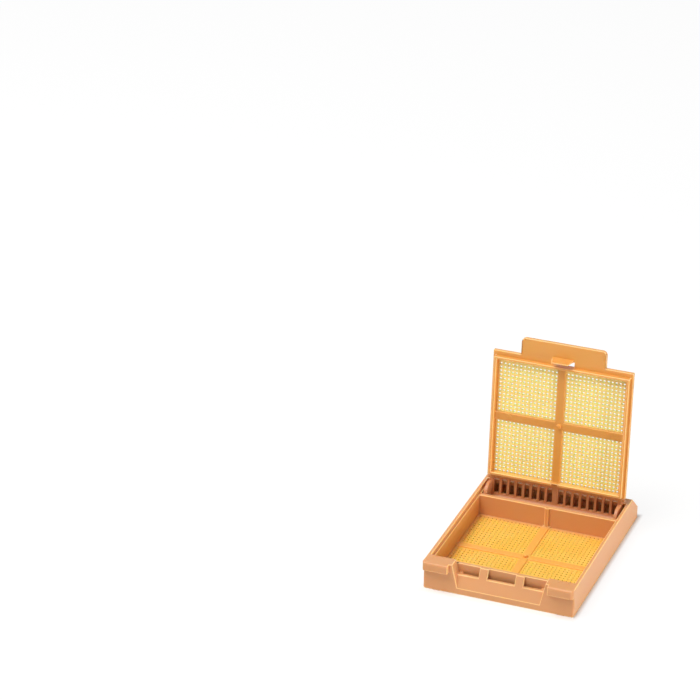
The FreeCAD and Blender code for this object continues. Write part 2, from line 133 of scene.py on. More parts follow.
def beside(values: np.ndarray, planes: list[float]) -> np.ndarray:
    """Whether values lie beside one of the planes, nearer than a softened edge on that plane reaches."""
    away = np.abs(values[:, None] - np.array(planes))
    return ((away > TOUCH / 10) & (away < SOFT_RIM + 2 * TOUCH)).any(axis=1)


def circle(steps: int) -> np.ndarray:
    """Points (cos a, sin a) at equal steps of the angle a round a unit circle."""
    angle = np.arange(steps) * 2 * math.pi / steps
    return np.column_stack([np.cos(angle), np.sin(angle)])


def read(items: bpy.types.bpy_prop_collection, name: str, width: int = 1, kind: type = float) -> np.ndarray:
    """Reads one attribute of all the items of a mesh.

    Args:
        items: the mesh's points, edges, corners or faces.
        name: the attribute.
        width: how many numbers each item has.
        kind: the type of a number.

    Returns:
        One number, or one row, for each item.
    """
    values = np.empty(len(items) * width, kind)
    items.foreach_get(name, values)
    return values if width == 1 else values.reshape(-1, width)


# ---- Surfaces --------------------------------------------------------------------------------------
@dataclass
class Surface:
    """Closed surface: points in millimetres, and faces as point numbers, anticlockwise from outside."""

    points: np.ndarray
    faces: list[list[int]]


@dataclass
class Lattice:
    """Solid made of blocks on a lattice of planes, in millimetres.

    Blocks are added and cut in order. The planes are all the ends of the blocks and the extra ones, so the
    faces between filled and empty cells share their corners and close without gaps.
    """

    steps: list[tuple[bool, list[np.ndarray]]] = field(default_factory=list)
    extra: tuple[list[float], list[float], list[float]] = field(default_factory=lambda: ([], [], []))

    def add(self, x: Span | np.ndarray, y: Span | np.ndarray, z: Span | np.ndarray) -> None:
        """Fills the blocks that the intervals along X, Y and Z make together."""
        self.steps.append((True, [np.atleast_2d(np.asarray(a, float)) for a in (x, y, z)]))

    def cut(self, x: Span | np.ndarray, y: Span | np.ndarray, z: Span | np.ndarray) -> None:
        """Empties the blocks that the intervals along X, Y and Z make together."""
        self.steps.append((False, [np.atleast_2d(np.asarray(a, float)) for a in (x, y, z)]))

    def lines(self) -> list[np.ndarray]:
        """Finds the planes of the lattice.

        Returns:
            Their places along X, Y and Z, within what is filled.
        """
        found = []
        for axis in Axis:
            ends = np.concatenate([iv[axis].ravel() for _, iv in self.steps] + [np.array(self.extra[axis])])
            filled = np.concatenate([iv[axis].ravel() for adds, iv in self.steps if adds])
            ends = np.clip(ends, filled.min(), filled.max())
            found.append(np.unique(np.round(ends, PLANE_DIGITS)))
        return found

    def surface(self, warp: Warp) -> Surface:
        """Finds the outer faces and bends them into shape.

        A face lies wherever a filled cell meets an empty one. Its corners run anticlockwise seen from the
        empty side.

        Args:
            warp: moves the lattice's points to their final place, in millimetres.

        Returns:
            The closed surface.
        """
        lines = self.lines()
        middles = [(a[1:] + a[:-1]) / 2 for a in lines]
        cells = np.zeros([len(m) for m in middles], bool)
        for adds, intervals in self.steps:
            masks = [((m[:, None] > iv[:, 0]) & (m[:, None] < iv[:, 1])).any(axis=1)
                     for m, iv in zip(middles, intervals)]
            region = masks[0][:, None, None] & masks[1][None, :, None] & masks[2][None, None, :]
            cells = cells | region if adds else cells & ~region
        padded = np.pad(cells, 1).astype(np.int8)
        shape = tuple(len(a) for a in lines)
        quads = []
        for axis in Axis:
            inner = [slice(1, -1)] * 3
            inner[axis] = slice(None)
            step = np.diff(padded, axis=axis)[tuple(inner)]
            for sign in (1, -1):
                place = np.argwhere(step == -sign)
                ring = []
                for along_b, along_c in ((0, 0), (1, 0), (1, 1), (0, 1)):
                    index = place.copy()
                    index[:, (axis + 1) % 3] += along_b
                    index[:, (axis + 2) % 3] += along_c
                    ring.append(np.ravel_multi_index(index.T, shape))
                quads.append(np.stack(ring[::sign], axis=1))
        used, numbered = np.unique(np.concatenate(quads), return_inverse=True)
        index = np.stack(np.unravel_index(used, shape), axis=1)
        points = np.stack([lines[axis][index[:, axis]] for axis in Axis], axis=1)
        return Surface(warp(points), numbered.reshape(-1, 4).tolist())


def prism(outline: np.ndarray | list[Span], axis: Axis, start: float, end: float) -> Surface:
    """Carries a closed outline straight along an axis and closes both ends.

    Args:
        outline: points in order, one row each, in the two other coordinates taken in cyclic order:
            (y, z) along X, (z, x) along Y, (x, y) along Z.
        axis: the axis along which it is carried.
        start: one end.
        end: the other end.

    Returns:
        The closed surface.
    """
    outline = np.asarray(outline, float)
    after = np.roll(outline, -1, axis=0)
    area = np.sum(outline[:, 0] * after[:, 1] - after[:, 0] * outline[:, 1])
    ring = outline if area > 0 else outline[::-1]
    count = len(ring)
    points = np.empty((2 * count, 3))
    points[:, axis] = np.repeat([min(start, end), max(start, end)], count)
    points[:, [(axis + 1) % 3, (axis + 2) % 3]] = np.tile(ring, (2, 1))
    here = np.arange(count)
    ahead = np.roll(here, -1)
    sides = np.stack([here, ahead, ahead + count, here + count], axis=1)
    return Surface(points, sides.tolist() + [here[::-1].tolist(), (here + count).tolist()])


def block(x: Span, y: Span, z: Span) -> Surface:
    """Block between the given limits."""
    return prism([(x[0], y[0]), (x[1], y[0]), (x[1], y[1]), (x[0], y[1])], Axis.Z, z[0], z[1])


def bar(radius: float, y: float, z: float, x: Span, steps: int = 32) -> Surface:
    """Cylinder along X about the point (y, z)."""
    return prism(np.array([y, z]) + radius * circle(steps), Axis.X, x[0], x[1])


def turned(profile: np.ndarray, centre: Point, sides: int = 24) -> Surface:
    """Turns a profile of (radius, height) about an upright line through the centre.

    A point is at centre + (r cos a, r sin a, h), with the angle a in equal steps; a flat cap closes each end.

    Args:
        profile: radius and height, one row each, from one end to the other.
        centre: where the line of turning stands and heights start.
        sides: steps round the turn.

    Returns:
        The closed surface.
    """
    if profile[0, 1] > profile[-1, 1]:
        profile = profile[::-1]
    heights = np.repeat(profile[:, None, 1:], sides, axis=1)
    rings = np.concatenate([profile[:, None, :1] * circle(sides), heights], axis=2)
    row, col = np.meshgrid(np.arange(len(profile) - 1), np.arange(sides), indexing="ij")
    a = row * sides + col
    b = row * sides + (col + 1) % sides
    faces = np.stack([a, b, b + sides, a + sides], axis=2).reshape(-1, 4).tolist()
    here = np.arange(sides)
    faces += [here[::-1].tolist(), (here + (len(profile) - 1) * sides).tolist()]
    return Surface(rings.reshape(-1, 3) + np.array(centre), faces)


def rounder(radius: float, corner: Span, outward: Span, axis: Axis, along: Span) -> Surface:
    """What a straight edge loses when it is rounded: a corner less the quarter disc inside it.

    Args:
        radius: radius of the rounded edge.
        corner: the edge's place in the two coordinates that prism() takes for this axis.
        outward: signs of the directions that lead out of the solid.
        axis: the axis along which the edge runs.
        along: where it starts and ends.

    Returns:
        The closed surface, for cutting.
    """
    corner, outward = np.array(corner), np.array(outward)
    centre = corner - radius * outward
    angle = np.linspace(0, math.pi / 2, ARC_STEPS + 1)
    arc = centre + radius * outward * np.column_stack([np.cos(angle), np.sin(angle)])
    far = corner + BEYOND * outward
    return prism(np.vstack([arc, (centre[0], far[1]), far, (far[0], centre[1])]), axis, *along)


@dataclass
class Nub:
    """Small round knob on floor and lid, in millimetres."""

    radius: float = 0.5
    height: float = 0.5
    rounding: float = 0.25
    steps: int = 5

    def surface(self, middle_y: float, root: float, face: float) -> Surface:
        """Stands the nub on a face: a straight side, then a quarter round, then a flat tip.

        Args:
            middle_y: its place along the cassette.
            root: height inside the wall where it starts.
            face: height of the face that it leaves; it points away from the root.

        Returns:
            The closed surface.
        """
        way = 1 if face > root else -1
        angle = np.linspace(0, math.pi / 2, self.steps + 1)
        radii = self.radius - self.rounding * (1 - np.cos(angle))
        heights = face + way * (self.height - self.rounding * (1 - np.sin(angle)))
        return turned(np.column_stack([np.r_[self.radius, radii], np.r_[root, heights]]), (0, middle_y, 0))


# ---- Joining surfaces into one moulding ------------------------------------------------------------
class Moulding:
    """One closed mesh that other closed surfaces are joined to or cut from, in millimetres."""

    def __init__(self, name: str, first: Surface) -> None:
        """Starts from a closed surface."""
        self.name = name
        self.object = self.make(name, first)

    @staticmethod
    def make(name: str, surface: Surface) -> bpy.types.Object:
        """Makes a mesh object of a surface.

        Args:
            name: the object's name.
            surface: its points and faces.

        Returns:
            The object, in the scene.
        """
        mesh = bpy.data.meshes.new(name)
        mesh.from_pydata(surface.points, [], surface.faces)
        mesh.update(calc_edges=True)
        made = bpy.data.objects.new(name, mesh)
        bpy.context.scene.collection.objects.link(made)
        return made

    def combine(self, how: Combine, surfaces: tuple["Surface | Moulding", ...]) -> "Moulding":
        """Combines the moulding with each surface in turn and keeps the result as its mesh.

        Args:
            how: join, cut or keep.
            surfaces: closed surfaces, or other mouldings, which are used up.

        Returns:
            The moulding itself.
        """
        for other in surfaces:
            tool = other.object if isinstance(other, Moulding) else self.make("tool", other)
            boolean = self.object.modifiers.new("Combine", "BOOLEAN")
            boolean.operation, boolean.solver, boolean.object = how.value, "MANIFOLD", tool
            view = bpy.context.evaluated_depsgraph_get()
            mesh = bpy.data.meshes.new_from_object(self.object.evaluated_get(view))
            self.object.modifiers.clear()
            spent = (self.object.data, tool.data)
            self.object.data = mesh
            for old in spent:
                bpy.data.meshes.remove(old)
        return self

    def join(self, *surfaces: "Surface | Moulding") -> "Moulding":
        """Joins surfaces to the moulding."""
        return self.combine(Combine.JOIN, surfaces)

    def cut(self, *surfaces: "Surface | Moulding") -> "Moulding":
        """Cuts surfaces out of the moulding."""
        return self.combine(Combine.CUT, surfaces)

    def keep(self, *surfaces: "Surface | Moulding") -> "Moulding":
        """Keeps what lies inside every surface."""
        return self.combine(Combine.KEEP, surfaces)

    def places(self) -> tuple[np.ndarray, np.ndarray]:
        """The points of the mesh and the midpoints of its edges, one row each."""
        points = read(self.object.data.vertices, "co", 3)
        return points, points[read(self.object.data.edges, "vertices", 2, int)].mean(axis=1)

    def merge_flat(self, spare: Chosen) -> None:
        """Merges neighbouring faces of one plane where a line runs too near to a softened edge.

        Args:
            spare: tells which points, and which edges by their midpoints, may go.
        """
        mesh = self.object.data
        points, middle = self.places()
        shape = bmesh.new()
        shape.from_mesh(mesh)
        bmesh.ops.dissolve_limit(shape, angle_limit=math.radians(FLAT_ANGLE), use_dissolve_boundaries=False,
                                 verts=list(compress(shape.verts, spare(points))),
                                 edges=list(compress(shape.edges, spare(middle))))
        shape.to_mesh(mesh)
        shape.free()

    def edge_radius(self, softness: Softness) -> np.ndarray:
        """Softening radius of every edge where the surface turns by more than EDGE_ANGLE.

        Two faces turn outwards where the middle of one lies behind the other's plane.

        Args:
            softness: gives the radius from an edge's midpoint and from whether it is convex.

        Returns:
            One radius for each edge, 0 where it stays sharp.
        """
        mesh = self.object.data
        edge, size = read(mesh.loops, "edge_index", 1, int), read(mesh.polygons, "loop_total", 1, int)
        normal, centre = read(mesh.polygons, "normal", 3), read(mesh.polygons, "center", 3)
        middle = self.places()[1]
        order = np.argsort(edge, kind="stable")
        owner = np.repeat(np.arange(len(size)), size)[order]
        found, first, count = np.unique(edge[order], return_index=True, return_counts=True)
        found, first = found[count == 2], first[count == 2]
        one, two = owner[first], owner[first + 1]
        turns = (normal[one] * normal[two]).sum(axis=1) < math.cos(math.radians(EDGE_ANGLE))
        convex = ((centre[two] - middle[found]) * normal[one]).sum(axis=1) < 0
        radius = np.zeros(len(mesh.edges))
        radius[found[turns]] = softness(middle[found[turns]], convex[turns])
        return radius

    def finish(self, origin_y: float, place: Warp, softness: Softness, spare: Chosen) -> bpy.types.Object:
        """Puts the mesh in its place in the frame and softens its edges.

        Args:
            origin_y: the latch end's Y in the frame, in metres.
            place: moves points to their rest position, in millimetres.
            softness: as for edge_radius().
            spare: as for merge_flat().

        Returns:
            The finished object.
        """
        self.merge_flat(spare)
        mesh = self.object.data
        mesh.name = self.name
        radius = self.edge_radius(softness)
        placed = place(self.places()[0]) * MM + np.array([0, origin_y, 0])
        mesh.vertices.foreach_set("co", placed.ravel())
        weight = mesh.attributes.new("bevel_weight_edge", "FLOAT", "EDGE")
        weight.data.foreach_set("value", (radius / SOFT_RIM).astype(np.float32))
        mesh.update()
        mesh.shade_smooth()
        mesh.set_sharp_from_angle(angle=math.radians(SHARP_ANGLE))
        soft = self.object.modifiers.new("Soft edges", "BEVEL")
        soft.limit_method, soft.width, soft.segments = "WEIGHT", SOFT_RIM * MM, RIM_SEGMENTS
        soft.use_clamp_overlap = False
        soft.material = 1                         # the rim's finish, with its painted highlight
        soft.harden_normals = True
        return self.object


# ---- Finishes --------------------------------------------------------------------------------------
class NodeMaker:
    """Adds shader nodes to a tree with their settings and links."""

    def __init__(self, tree: bpy.types.NodeTree) -> None:
        """Starts with an empty tree."""
        self.tree = tree
        tree.nodes.clear()

    def add(self, kind: str, inputs: dict | None = None, **settings: object) -> bpy.types.Node:
        """Adds one node.

        Args:
            kind: the node's type, without its ShaderNode prefix.
            inputs: values or other nodes' output sockets, by input name or number.
            settings: attributes of the node.

        Returns:
            The new node.
        """
        node = self.tree.nodes.new("ShaderNode" + kind)
        for key, value in settings.items():
            setattr(node, key, value)
        for key, value in (inputs or {}).items():
            socket = node.inputs[key]
            if isinstance(value, bpy.types.NodeSocket):
                self.tree.links.new(value, socket)
            else:
                socket.default_value = value
        return node


@dataclass(frozen=True)
class ThinField:
    """Where the thin, pierced wall gets a painted glow for the light that comes through it. Metres from its
    middle, laid flat.
    """

    centre: Point                                 # its middle in the frame
    turn: float                                   # degrees about X from flat to its rest position
    half: Span                                    # half sizes along X and Y
    holes: Span                                   # between which heights the walls of the holes run
    rib_half: float
    shade_from: float                             # Y beyond which the plastic gets painted shade


@dataclass(frozen=True)
class Acetal:
    """Tan acetal, injection moulded in a finely eroded mould.

    To the eye it is waxy: broad soft highlights and no mirror image. Its colours also carry painted light: a
    painted highlight that makes edges a little paler than faces, a painted glow of warm yellow where the wall
    is thin and pierced, for the light that travels through it, and painted shade at the far end.
    """

    name: str
    colour: Colour = srgb("DA9B64")               # thick wall
    warm: Colour = srgb("DCA06C")                 # the same in the soft flow marks
    edge: Colour = srgb("F6C486")                 # painted highlight on a softened edge
    # the same painted highlight in the soft flow marks
    edge_highlight_warm: Colour = srgb("F8CA88")
    lit: Colour = srgb("FFB83C")                  # painted glow of light through the thin wall between the holes
    # the same painted glow in the soft flow marks
    lit_pale: Colour = srgb("FFD068")
    lit_hole: Colour = srgb("FFD87A")             # painted glow on the walls of the fine holes
    # painted glow on the ribs across the thin field
    lit_rib: Colour = srgb("F2B256")
    shaded_end: Colour = srgb("CF8A58")                # painted shade at the far end, where little light gets in
    roughness: Span = (0.37, 0.49)                # between the highs and lows of the grain
    refraction: float = 1.48
    depth: float = 0.6 * MM                       # how far light spreads inside the plastic
    spread: Point = (1.0, 0.6, 0.25)              # share of that depth for red, green and blue
    weight: float = 0.6
    grain: float = 0.18 * MM                      # eroded texture, drawn as coarse as it needs to show
    grain_depth: float = 0.006 * MM
    grain_strength: float = 0.25
    grain_fineness: float = 0.6                   # how much the smaller grains count
    cloud: float = 7.0 * MM                       # size of the soft flow marks
    cloud_fineness: float = 0.5
    octaves: float = 2.0                          # sizes of grain or mark below the first
    fade: float = 1.5 * MM                        # over which the painted glow dies out in the thicker border
    rib_fade: Span = (-0.1 * MM, 0.3 * MM)        # the same beside a rib, from the rib's edge
    hole_fade: float = 0.03 * MM                  # the same at both ends of a hole

    def rim_highlight(self) -> "Acetal":
        """The same plastic at a softened edge, with a painted highlight for the light that it catches from
        two sides.
        """
        return replace(self, name=self.name + " rim", colour=self.edge, warm=self.edge_highlight_warm)

    def glow(self, nodes: NodeMaker, place: bpy.types.NodeSocket,
             thin: ThinField) -> list[bpy.types.NodeSocket]:
        """Works out where the painted glow of light through the thin wall goes, and where the painted shade
        goes.

        Each share is a ramp, or the product of two, along X, Y or Z of the field laid flat about its middle.

        Args:
            nodes: the material's nodes.
            place: Object coordinates.
            thin: the thin part of the piece.

        Returns:
            The shares of the whole thin field, of what lies between its ribs, of the walls of its holes,
            and of the far end that gets painted shade.
        """
        flat = nodes.add("Mapping", {"Vector": place, "Location": thin.centre,
                                     "Rotation": (math.radians(thin.turn), 0, 0)}, vector_type="TEXTURE")
        x, y, z = nodes.add("SeparateXYZ", {0: flat.outputs[0]}).outputs
        away = [nodes.add("Math", {0: part}, operation="ABSOLUTE").outputs[0] for part in (x, y)]
        low, high = thin.holes
        rib = (thin.rib_half + self.rib_fade[0], thin.rib_half + self.rib_fade[1])
        ramps = [(away[0], thin.half[0] + self.fade / 2, thin.half[0] - self.fade / 2),
                 (away[1], thin.half[1] + self.fade / 2, thin.half[1] - self.fade / 2),
                 (away[0], *rib), (away[1], *rib),
                 (z, low, low + self.hole_fade), (z, high, high - self.hole_fade),
                 (y, thin.shade_from, thin.shade_from + MM)]
        shares = [nodes.add("MapRange", {"Value": value, "From Min": start, "From Max": end}).outputs[0]
                  for value, start, end in ramps]
        products = [nodes.add("Math", {0: one, 1: two}, operation="MULTIPLY").outputs[0]
                    for one, two in zip(shares[:-1:2], shares[1:-1:2])]
        return products + shares[-1:]

    def material(self, thin: ThinField) -> bpy.types.Material:
        """Makes the material.

        Args:
            thin: the thin part of the piece.

        Returns:
            The procedural material on Object coordinates.
        """
        made = bpy.data.materials.new(self.name)
        made.use_nodes = True
        nodes = NodeMaker(made.node_tree)
        place = nodes.add("TexCoord").outputs["Object"]
        marks, height = (nodes.add("TexNoise", {"Vector": place, "Scale": 1 / size, "Detail": self.octaves,
                                                "Roughness": fineness}).outputs["Fac"]
                         for size, fineness in ((self.cloud, self.cloud_fineness),
                                                (self.grain, self.grain_fineness)))
        whole, between, deep, shaded_end = self.glow(nodes, place, thin)
        # Painted shade over the body colour at the far end, and a painted glow of light through the thin
        # field.
        body = nodes.add("Mix", {"Factor": marks, 6: self.colour, 7: self.warm}, data_type="RGBA")
        ends = nodes.add("Mix", {"Factor": shaded_end, 6: body.outputs[2], 7: self.shaded_end}, data_type="RGBA")
        wall = nodes.add("Mix", {"Factor": marks, 6: self.lit, 7: self.lit_pale}, data_type="RGBA")
        mesh = nodes.add("Mix", {"Factor": deep, 6: wall.outputs[2], 7: self.lit_hole}, data_type="RGBA")
        lit = nodes.add("Mix", {"Factor": between, 6: self.lit_rib, 7: mesh.outputs[2]}, data_type="RGBA")
        colour = nodes.add("Mix", {"Factor": whole, 6: ends.outputs[2], 7: lit.outputs[2]}, data_type="RGBA")
        rough = nodes.add("MapRange", {"Value": height, "To Min": self.roughness[0],
                                       "To Max": self.roughness[1]})
        bump = nodes.add("Bump", {"Height": height, "Strength": self.grain_strength,
                                  "Distance": self.grain_depth})
        shader = nodes.add("BsdfPrincipled", {
            "Base Color": colour.outputs[2], "Roughness": rough.outputs[0], "IOR": self.refraction,
            "Normal": bump.outputs["Normal"], "Subsurface Weight": self.weight,
            "Subsurface Radius": self.spread, "Subsurface Scale": self.depth})
        nodes.add("OutputMaterial", {"Surface": shader.outputs[0]})
        return made


BASE_ACETAL = Acetal("Acetal, tan, base")

# The lid stands upright with light behind it; its colours carry that as painted back light: yellower plastic
# and a paler mesh.
LID_ACETAL = replace(BASE_ACETAL, name="Acetal, tan, lid", colour=srgb("E2A24C"), warm=srgb("E0A254"),
                     lit=srgb("F3D27C"), lit_pale=srgb("F8DE90"), lit_hole=srgb("FFF69A"),
                     lit_rib=srgb("DA9A46"), fade=0.5 * MM)


# ---- The mesh of holes in floor and lid ------------------------------------------------------------
@dataclass
class HoleMesh:
    """Square holes in four quarters, measured from the middle of the mesh, in millimetres."""

    counts: tuple[int, int]                       # columns and rows in a quarter
    first: Span                                   # middle of the first hole along X and Y
    hole: float
    pitch: float = 0.768
    pocket_margin: float = 0.15

    def intervals(self, axis: Axis) -> np.ndarray:
        """The holes' intervals along X or Y on both sides of the middle, one row each."""
        middles = self.first[axis] + self.pitch * np.arange(self.counts[axis])
        return spans(np.concatenate([middles, -middles]), self.hole)

    def near(self) -> np.ndarray:
        """From the middle to the near side of the first hole, along X and Y."""
        return np.array(self.first) - self.hole / 2

    def far(self) -> np.ndarray:
        """From the middle to the far side of the last hole, along X and Y."""
        return np.array(self.first) + self.pitch * (np.array(self.counts) - 1) + self.hole / 2

    def pockets(self) -> list[np.ndarray]:
        """Limits of the pockets along X and Y, one row for each side of the middle."""
        inner, outer = self.near() - self.pocket_margin, self.far() + self.pocket_margin
        return [mirrored(*ends) for ends in zip(inner, outer)]

    def pierce(self, solid: Lattice, middle_y: float, holes_z: Span, pocket_z: Span) -> None:
        """Cuts every hole and the pocket of each quarter.

        Args:
            solid: what is cut.
            middle_y: Y of the middle of the mesh.
            holes_z: heights between which the holes run.
            pocket_z: heights between which the pockets run.
        """
        solid.cut(self.intervals(Axis.X), self.intervals(Axis.Y) + middle_y, holes_z)
        across, along = self.pockets()
        solid.cut(across, along + middle_y, pocket_z)

    def covers(self, points: np.ndarray, middle_y: float) -> np.ndarray:
        """Whether points lie among the holes, seen square on."""
        away = np.abs(points[:, :2] - np.array([0, middle_y]))
        return ((away > self.near() - TOUCH) & (away < self.far() + TOUCH)).all(axis=1)

    def thin_field(self, centre: Point, turn: float, holes: Span, rib_half: float,
                   shade_from: float) -> ThinField:
        """Describes the part that gets a painted glow of the light through it, for the finish.

        Args:
            centre: its middle in the frame, in metres.
            turn: degrees about X from flat to its rest position.
            holes: heights from that middle between which the walls of the holes run, in millimetres.
            rib_half: half the width of its ribs, in millimetres.
            shade_from: how far behind the middle the painted shade starts, in millimetres.

        Returns:
            The thin field, in metres.
        """
        across, along = (self.far() * MM).tolist()
        return ThinField(centre, turn, (across, along), (holes[0] * MM, holes[1] * MM), rib_half * MM,
                         shade_from * MM)


# ---- Sizes shared by base and lid ------------------------------------------------------------------
@dataclass
class Hinge:
    """Where the lid turns, in millimetres from the latch end and the rest plane."""

    y: float = 32.1125
    z: float = 3.9
    open_angle: float = 94.0
    pin_radius: float = 0.7
    pin_clearance: float = 0.05
    pin_end: float = 13.9
    hole_end: float = 14.0
    arm_radius: float = 2.3
    arm_inside: float = 12.4
    arm_back: float = 1.5

    def swing(self, points: np.ndarray) -> np.ndarray:
        """Turns the closed lid to its open rest position.

        (y, z) from the axis becomes (y cos a - z sin a, y sin a + z cos a), where a is less than 0.

        Args:
            points: points of the closed lid, in millimetres.

        Returns:
            The turned points.
        """
        angle = -math.radians(self.open_angle)
        y, z = points[:, 1] - self.y, points[:, 2] - self.z
        return np.column_stack([points[:, 0], self.y + y * math.cos(angle) - z * math.sin(angle),
                                self.z + y * math.sin(angle) + z * math.cos(angle)])


@dataclass
class Base:
    """The base: compartment, latch end, hinge walls and writing face. Millimetres, Y from the latch end."""

    hinge: Hinge
    half_width: float = 14.25
    length: float = 40.7
    height: float = 5.8
    inner: float = 13.6                           # half the width between the side walls above the ledge
    cell: float = 13.3                            # half the width of the compartment
    ledge: float = 4.97                           # height at which the lid's edge lies
    corner_radius: float = 0.8
    face_start: float = 36.3                      # where the writing face starts to slope
    face_angle: float = 41.5
    face_wall: float = 1.0
    face_round: float = 1.5
    strip_front: float = 34.2                     # slotted strip between the hinge and the writing face
    strip_thickness: float = 0.9
    slot_y: Span = (34.9, 35.5)
    slot_count: int = 5
    slot_bridge: float = 1.1
    slot_margin: float = 1.15
    front: float = 0.9                            # outer and inner side of the wall at the latch end
    front_back: float = 1.55
    ear_inside: float = 9.4
    ear_length: float = 3.2
    ear_bottom: float = 4.1
    ear_wall: float = 0.9
    ear_corner: float = 0.6
    ear_edge: float = 0.45
    ear_reach: float = 0.2                        # how far the cut for that edge passes the ear's inner side
    front_corner: float = 0.35
    mark: Point = (11.825, 1.825, 5.75)           # middle of the shallow ejector mark on an ear
    mark_radius: float = 1.2
    near_wall: Span = (3.45, 4.1)                 # end walls of the compartment
    far_wall: Span = (28.7125, 29.5625)
    far_rib_front: float = 28.3625
    far_rib_half: float = 0.4
    floor: float = 0.95
    floor_pocket: float = 0.35
    floor_rib_half: float = 0.7
    floor_rib_top: float = 1.15
    middle_y: float = 16.40625
    recess: float = 8.8                           # half the width of the latch recess at the top
    recess_lean: float = 1.3                      # what it loses down to the bottom
    cheek: float = 0.6                            # thickness of its side walls
    ramp_foot: Span = (1.05, 1.25)                # Y and height of the ramp's outer face
    ramp_top: Span = (3.2, 4.97)
    ramp_wall: float = 0.6
    ramp_root: float = 0.2                        # how far the plate reaches into the strip at its foot
    sill: float = 3.32                            # height at which the windows start
    middle_window: float = 2.55                   # half its width
    side_window: float = 4.25                     # from the middle to its near side
    slit_corner: float = 0.8
    nub: Nub = field(default_factory=Nub)
    mesh: HoleMesh = field(default_factory=lambda: HoleMesh((16, 14), (1.15, 1.45), 0.3))

    def face_top(self, y: np.ndarray) -> np.ndarray:
        """Height of the outer surface at the writing end.

        It is level up to face_start, then falls along a straight slope, and ends in an arc of face_round that
        meets the slope without a bend.

        Args:
            y: places along the cassette.

        Returns:
            One height for each place.
        """
        slope = math.tan(math.radians(self.face_angle))
        centre = self.length - self.face_round
        turn = centre + self.face_round * math.sin(math.radians(self.face_angle))
        plane = self.height - np.maximum(y - self.face_start, 0) * slope
        at_turn = self.height - (turn - self.face_start) * slope
        middle = at_turn - self.face_round * math.cos(math.radians(self.face_angle))
        arc = middle + np.sqrt(np.maximum(self.face_round ** 2 - (y - centre) ** 2, 0))
        return np.where(y > turn, arc, plane)

    def face_under(self, y: np.ndarray) -> np.ndarray:
        """Height of the wall's inner surface at the writing end: level, then face_wall inside the slope.

        Args:
            y: places along the cassette.

        Returns:
            One height for each place.
        """
        angle = math.radians(self.face_angle)
        sloping = self.height - self.face_wall / math.cos(angle) - (y - self.face_start) * math.tan(angle)
        return np.minimum(self.height - self.strip_thickness, sloping)

    def warp(self, points: np.ndarray) -> np.ndarray:
        """Bends the lattice into the writing face.

        Heights below the roof are drawn in to the inner surface, and heights in the roof run evenly from the
        inner to the outer surface.

        Args:
            points: points of the straight lattice, which are changed.

        Returns:
            The same points in their place.
        """
        rear = points[:, 1] > self.strip_front + TOUCH
        roof = self.height - self.strip_thickness
        top, under = self.face_top(points[rear, 1]), self.face_under(points[rear, 1])
        old = points[rear, 2]
        points[rear, 2] = np.where(old <= roof, old * under / roof,
                                   under + (old - roof) * (top - under) / self.strip_thickness)
        return points

    def softness(self, middle: np.ndarray, convex: np.ndarray) -> np.ndarray:
        """Radius of each edge: small on outer edges, none on holes, marks and the rounded ends of the ears.

        Args:
            middle: midpoints of the edges.
            convex: whether the faces turn outwards there.

        Returns:
            One radius for each edge.
        """
        x, y, z = np.abs(middle[:, 0]), middle[:, 1], middle[:, 2]
        radius = np.where(convex, SOFT_RIM, 0.0)
        radius[self.mesh.covers(middle, self.middle_y) & (z < self.floor + TOUCH)] = 0
        near_corner = (x > self.inner) & (y < self.ear_corner + SOFT_RIM)
        radius[near_corner | ((np.abs(z - self.ear_bottom) < TOUCH) & (x > self.inner))] = 0
        radius[np.hypot(x - self.mark[0], y - self.mark[1]) < self.mark_radius + TOUCH] = 0
        hole = self.hinge.pin_radius + self.hinge.pin_clearance + TOUCH
        radius[(np.hypot(y - self.hinge.y, z - self.hinge.z) < hole) & (x > self.cell - TOUCH)] = 0
        return radius

    def spare(self, points: np.ndarray) -> np.ndarray:
        """Where softened edges need room: by the ledge and the ears, round the recess, and under the rear.

        Args:
            points: points of the moulding, or midpoints of its edges.

        Returns:
            Whether each may go.
        """
        x, y, z = points.T
        by_ledge = (np.abs(z - (self.height - self.ear_wall)) < TOUCH) & (y > self.ear_length + TOUCH)
        by_ledge &= y < self.strip_front - TOUCH
        by_ear = beside(x, [-self.ear_inside, self.ear_inside]) & (y < self.ear_length + TOUCH)
        by_recess = (np.abs(y - self.front) < TOUCH) | (np.abs(y - self.ear_length) < TOUCH)
        return by_ledge | by_ear | by_recess | ((z < TOUCH) & (y > self.length - self.face_round))

    def body(self) -> Surface:
        """Builds the moulding without its latch, nub and pin holes.

        Returns:
            The closed surface.
        """
        solid = Lattice()
        all_z = (0.0, self.height)
        roof = self.height - self.strip_thickness
        whole = (-self.inner, self.inner)
        cell = (-self.cell, self.cell)
        solid.add((-self.half_width, self.half_width), (self.front, self.length), all_z)
        solid.add(mirrored(self.ear_inside, self.half_width), (0.0, self.front_back),
                  (self.ear_bottom, self.height))
        solid.cut(whole, (self.ear_length, self.strip_front), (self.ledge, self.height))
        solid.cut(cell, (self.near_wall[1], self.far_wall[0]), all_z)
        solid.cut(whole, (self.front_back, self.ear_length), (0.0, self.height - self.ear_wall))
        solid.cut(cell, (self.far_wall[1], self.strip_front), all_z)
        solid.cut(whole, (self.strip_front, self.length - self.face_wall), (0.0, roof))
        solid.cut(self.strip_slots(), self.slot_y, (roof, self.height))
        self.add_floor(solid)
        solid.add((-self.far_rib_half, self.far_rib_half), (self.far_rib_front, self.far_wall[1]),
                  (0.0, self.ledge))
        self.add_planes(solid)
        return solid.surface(self.warp)

